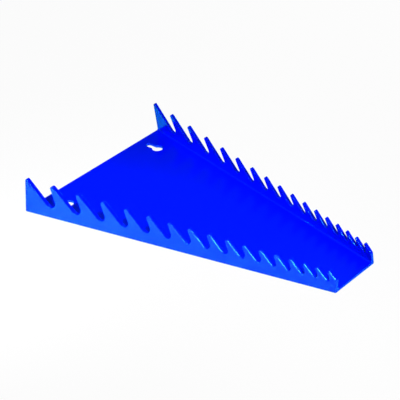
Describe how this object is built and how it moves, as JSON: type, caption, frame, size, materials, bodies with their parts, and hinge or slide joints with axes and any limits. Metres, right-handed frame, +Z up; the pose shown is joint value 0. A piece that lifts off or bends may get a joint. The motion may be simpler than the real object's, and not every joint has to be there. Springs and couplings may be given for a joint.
{
  "type": "wrench rack",
  "caption": "Tapered moulded tray whose two long walls are cut into graded saw-tooth slots that hold a set of wrenches side by side.",
  "frame": {"origin": "middle of the flat underside, halfway between the two ends and the two walls", "axes": "+X along the rack from the wide end to the narrow end, +Y across it, +Z up from the underside to the tooth tips"},
  "size_m": [0.4, 0.244, 0.0439],
  "materials": {
    "blue_plastic": "glossy injection-moulded plastic, one colour right through"
  },
  "bodies": {
    "root": {"wrench_rack": "blue_plastic"}
  },
  "joints": []
}
